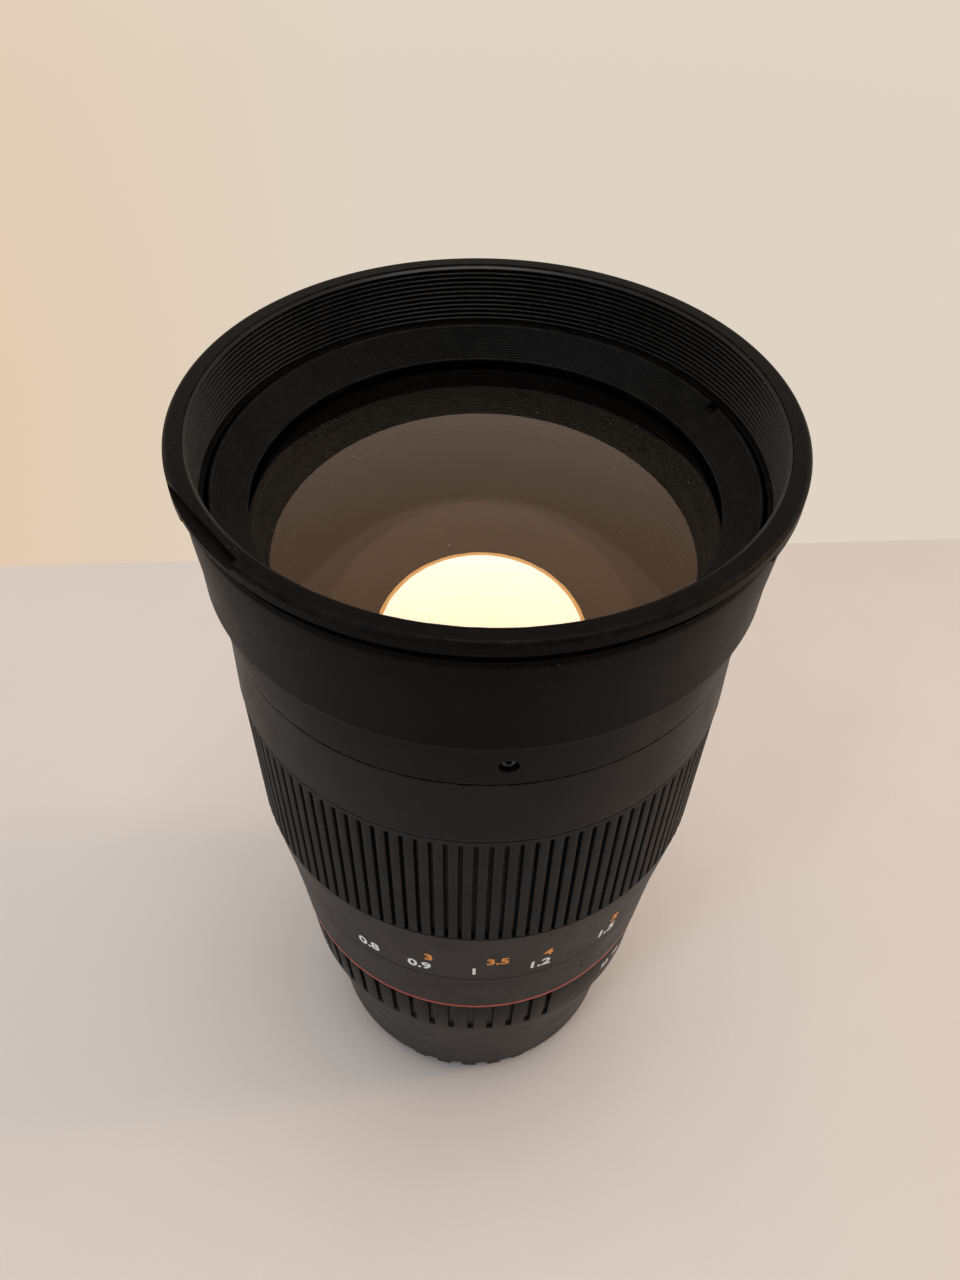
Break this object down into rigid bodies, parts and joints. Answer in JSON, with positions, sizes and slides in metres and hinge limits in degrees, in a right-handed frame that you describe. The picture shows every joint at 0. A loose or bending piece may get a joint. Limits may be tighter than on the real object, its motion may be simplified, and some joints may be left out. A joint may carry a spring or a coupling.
{
  "type": "prime camera lens",
  "caption": "Fast telephoto prime lens with ribbed focus ring, slotted aperture ring, internally moving front glass, bladed iris, bayonet mount and rear cap.",
  "frame": {"origin": "centre of the rear cap's foot, on the optical axis", "axes": "+Z along the optical axis towards the front glass; -Y is the side of the barrel that faces the viewer, with the low end of the distance scale; +X to its right, where the index line is"},
  "size_m": [0.082, 0.082, 0.153],
  "materials": {
    "barrel_paint": "fine satin black anodised paint with a warm tint",
    "inner_black": "matte black anodised, finely turned",
    "blade_black": "thin blackened steel, low sheen",
    "accent_red": "satin red anodised",
    "mount_metal": "satin chrome plate with fine turning marks",
    "screw_steel": "oiled steel",
    "brass_parts": "machined, greased",
    "grip_rubber": "matte ribbed rubber with a little dust",
    "coated_glass": "polished, multi-coated",
    "cap_plastic": "moulded, fine matte grain"
  },
  "bodies": {
    "barrel": {"front_barrel": "barrel_paint", "barrel_collar": "barrel_paint", "guide_tube": "inner_black", "name_band": "barrel_paint", "accent_ring": "accent_red", "rear_tube": "barrel_paint", "mount_ring": "mount_metal", "rear_baffle": "inner_black", "rear_cell": "inner_black", "rear_element_1": "coated_glass", "rear_element_2": "coated_glass", "rear_spacer": "inner_black", "rear_retaining_ring": "inner_black", "click_ball": "screw_steel", "click_spring": "screw_steel", "infinity_stop_pin": "screw_steel", "near_stop_pin": "screw_steel", "collar_screw_1": "screw_steel", "collar_screw_2": "screw_steel", "collar_screw_3": "screw_steel", "mount_screw_1": "screw_steel", "mount_screw_2": "screw_steel", "mount_screw_3": "screw_steel", "mount_screw_4": "screw_steel"},
    "aperture_control": {"aperture_ring": "barrel_paint", "aperture_lever": "screw_steel"},
    "focus_control": {"focus_ring": "barrel_paint", "rubber_grip": "grip_rubber", "helicoid_ring": "brass_parts", "focus_stop_tab": "screw_steel"},
    "lens_block": {"front_cell": "inner_black", "front_bezel": "inner_black", "front_element": "coated_glass", "second_element": "coated_glass", "cell_spacer": "inner_black", "third_element": "coated_glass", "cell_retaining_ring": "inner_black", "iris_housing": "inner_black", "iris_cover": "inner_black", "drive_shoe_1": "brass_parts", "drive_shoe_2": "brass_parts", "drive_shoe_3": "brass_parts"},
    "iris_drive": {"iris_drive_ring": "screw_steel"},
    "blade_1": {"iris_blade_1": "blade_black"},
    "blade_2": {"iris_blade_2": "blade_black"},
    "blade_3": {"iris_blade_3": "blade_black"},
    "blade_4": {"iris_blade_4": "blade_black"},
    "blade_5": {"iris_blade_5": "blade_black"},
    "blade_6": {"iris_blade_6": "blade_black"},
    "blade_7": {"iris_blade_7": "blade_black"},
    "blade_8": {"iris_blade_8": "blade_black"},
    "blade_9": {"iris_blade_9": "blade_black"},
    "cap": {"rear_cap": "cap_plastic"}
  },
  "joints": [
    {"name": "focus_turn", "type": "hinge", "parent": "barrel", "child": "focus_control", "pos_m": [0, 0, 0.09], "axis": [0, 0, 1], "range_deg": [-23.2, 123.6]},
    {"name": "block_travel", "type": "slide", "parent": "barrel", "child": "lens_block", "axis": [0, 0, 1], "range_m": [-0.0017, 0.00901]},
    {"name": "aperture_turn", "type": "hinge", "parent": "barrel", "child": "aperture_control", "pos_m": [0, 0, 0.04], "axis": [0, 0, 1], "range_deg": [0, 46.5]},
    {"name": "iris_turn", "type": "hinge", "parent": "lens_block", "child": "iris_drive", "pos_m": [0, 0, 0.0873], "axis": [0, 0, 1], "range_deg": [0, 46.6]},
    {"name": "blade_swing_1", "type": "hinge", "parent": "lens_block", "child": "blade_1", "pos_m": [0.0263, 0, 0.0897], "axis": [0, 0, 1], "range_deg": [0, 39.6]},
    {"name": "blade_swing_2", "type": "hinge", "parent": "lens_block", "child": "blade_2", "pos_m": [0.02015, 0.0169, 0.0897], "axis": [0, 0, 1], "range_deg": [0, 39.6]},
    {"name": "blade_swing_3", "type": "hinge", "parent": "lens_block", "child": "blade_3", "pos_m": [0.00457, 0.0259, 0.0897], "axis": [0, 0, 1], "range_deg": [0, 39.6]},
    {"name": "blade_swing_4", "type": "hinge", "parent": "lens_block", "child": "blade_4", "pos_m": [-0.01315, 0.02278, 0.0897], "axis": [0, 0, 1], "range_deg": [0, 39.6]},
    {"name": "blade_swing_5", "type": "hinge", "parent": "lens_block", "child": "blade_5", "pos_m": [-0.02471, 0.00899, 0.0897], "axis": [0, 0, 1], "range_deg": [0, 39.6]},
    {"name": "blade_swing_6", "type": "hinge", "parent": "lens_block", "child": "blade_6", "pos_m": [-0.02471, -0.00899, 0.0897], "axis": [0, 0, 1], "range_deg": [0, 39.6]},
    {"name": "blade_swing_7", "type": "hinge", "parent": "lens_block", "child": "blade_7", "pos_m": [-0.01315, -0.02278, 0.0897], "axis": [0, 0, 1], "range_deg": [0, 39.6]},
    {"name": "blade_swing_8", "type": "hinge", "parent": "lens_block", "child": "blade_8", "pos_m": [0.00457, -0.0259, 0.0897], "axis": [0, 0, 1], "range_deg": [0, 39.6]},
    {"name": "blade_swing_9", "type": "hinge", "parent": "lens_block", "child": "blade_9", "pos_m": [0.02015, -0.0169, 0.0897], "axis": [0, 0, 1], "range_deg": [0, 39.6]},
    {"name": "cap_pull", "type": "slide", "parent": "barrel", "child": "cap", "axis": [0, 0, -1], "range_m": [0, 0.025]}
  ],
  "couplings": [
    {"joint": "block_travel", "follows": "focus_turn", "m_per_rad": 0.00417},
    {"joint": "iris_turn", "follows": "aperture_turn", "ratio": 1},
    {"joint": "blade_swing_1", "follows": "aperture_turn", "ratio": 0.8495},
    {"joint": "blade_swing_2", "follows": "aperture_turn", "ratio": 0.8495},
    {"joint": "blade_swing_3", "follows": "aperture_turn", "ratio": 0.8495},
    {"joint": "blade_swing_4", "follows": "aperture_turn", "ratio": 0.8495},
    {"joint": "blade_swing_5", "follows": "aperture_turn", "ratio": 0.8495},
    {"joint": "blade_swing_6", "follows": "aperture_turn", "ratio": 0.8495},
    {"joint": "blade_swing_7", "follows": "aperture_turn", "ratio": 0.8495},
    {"joint": "blade_swing_8", "follows": "aperture_turn", "ratio": 0.8495},
    {"joint": "blade_swing_9", "follows": "aperture_turn", "ratio": 0.8495}
  ]
}
